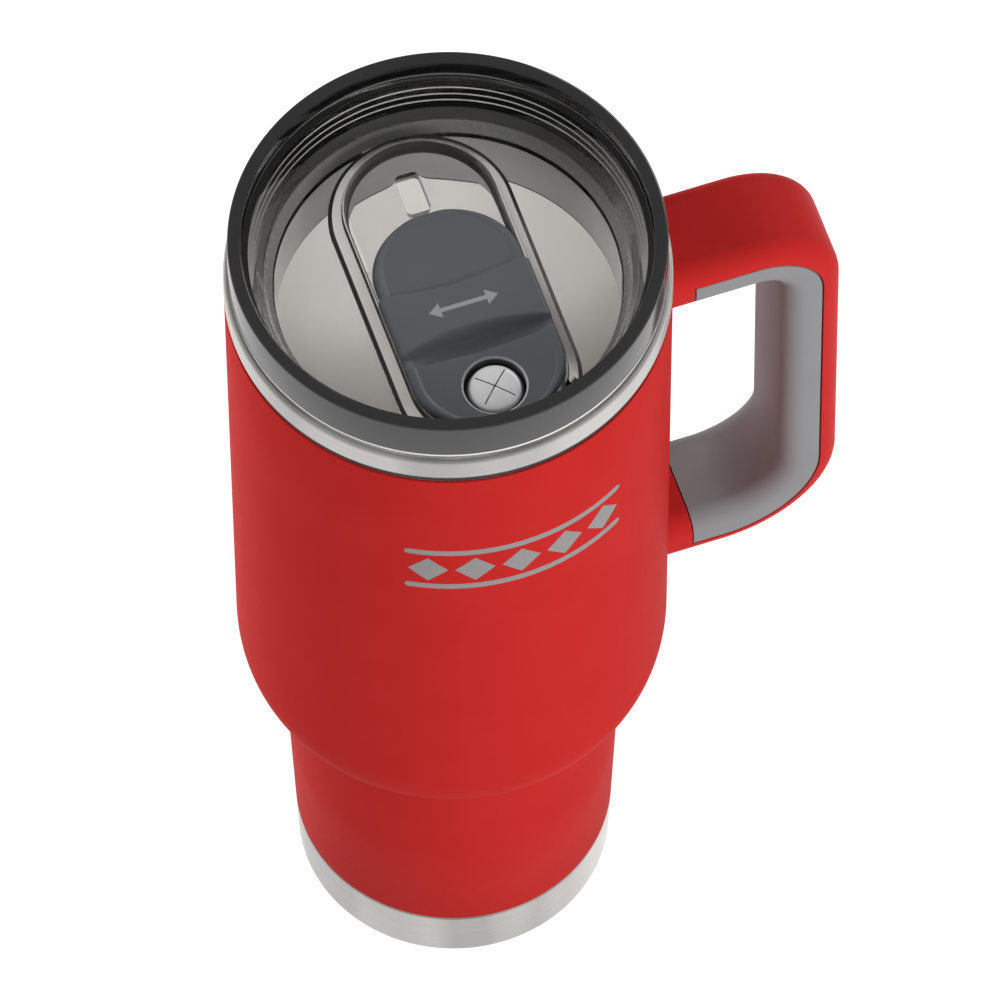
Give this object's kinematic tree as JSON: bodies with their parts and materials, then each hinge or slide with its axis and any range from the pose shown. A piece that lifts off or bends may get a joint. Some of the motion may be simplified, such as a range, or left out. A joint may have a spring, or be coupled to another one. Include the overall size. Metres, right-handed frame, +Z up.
{
  "type": "insulated travel mug",
  "caption": "Double-wall steel travel mug with a see-through press-in lid, a sliding drink cover with a straw valve, and a C-shaped handle with a soft grip.",
  "frame": {"origin": "middle of the flat base, on the mug's axis", "axes": "+Z up along the mug's axis, +X from the axis towards the handle, -Y towards the drinking end of the lid"},
  "size_m": [0.1411, 0.101, 0.2628],
  "materials": {
    "red_coat": "fine satin powder coat",
    "bare_steel": "brushed round the mug",
    "dark_seam": "matt",
    "red_plastic": "satin",
    "grey_grip": "soft satin",
    "smoke_clear": "clear, slightly smoke-tinted plastic",
    "black_silicone": "satin",
    "charcoal_plastic": "satin",
    "clear_silicone": "milky clear, satin"
  },
  "bodies": {
    "mug": {"outer_shell": "red_coat", "base_cup": "bare_steel", "vacuum_bottom": "bare_steel", "vacuum_seal": "bare_steel", "vacuum_getter": "bare_steel", "inner_liner": "bare_steel", "neck_ring": "bare_steel", "neck_seam": "dark_seam", "handle_shell": "red_plastic", "handle_grip": "grey_grip", "handle_upper_bracket": "bare_steel", "handle_lower_bracket": "bare_steel", "handle_upper_screw": "bare_steel", "handle_lower_screw": "bare_steel"},
    "lid_ring": {"lid_gasket": "black_silicone"},
    "lid": {"lid_body": "smoke_clear"},
    "drink_slider": {"slider": "charcoal_plastic", "slider_seal": "black_silicone", "slider_clip": "charcoal_plastic", "straw_valve": "clear_silicone"}
  },
  "joints": [
    {"name": "lid_lift", "type": "slide", "parent": "mug", "child": "lid_ring", "axis": [0, 0, 1], "range_m": [0, 0.045]},
    {"name": "lid_turn", "type": "hinge", "parent": "lid_ring", "child": "lid", "pos_m": [0, 0, 0.25], "axis": [0, 0, 1], "continuous": true},
    {"name": "slider_slide", "type": "slide", "parent": "lid", "child": "drink_slider", "axis": [0, 1, 0], "range_m": [0, 0.0178]}
  ]
}
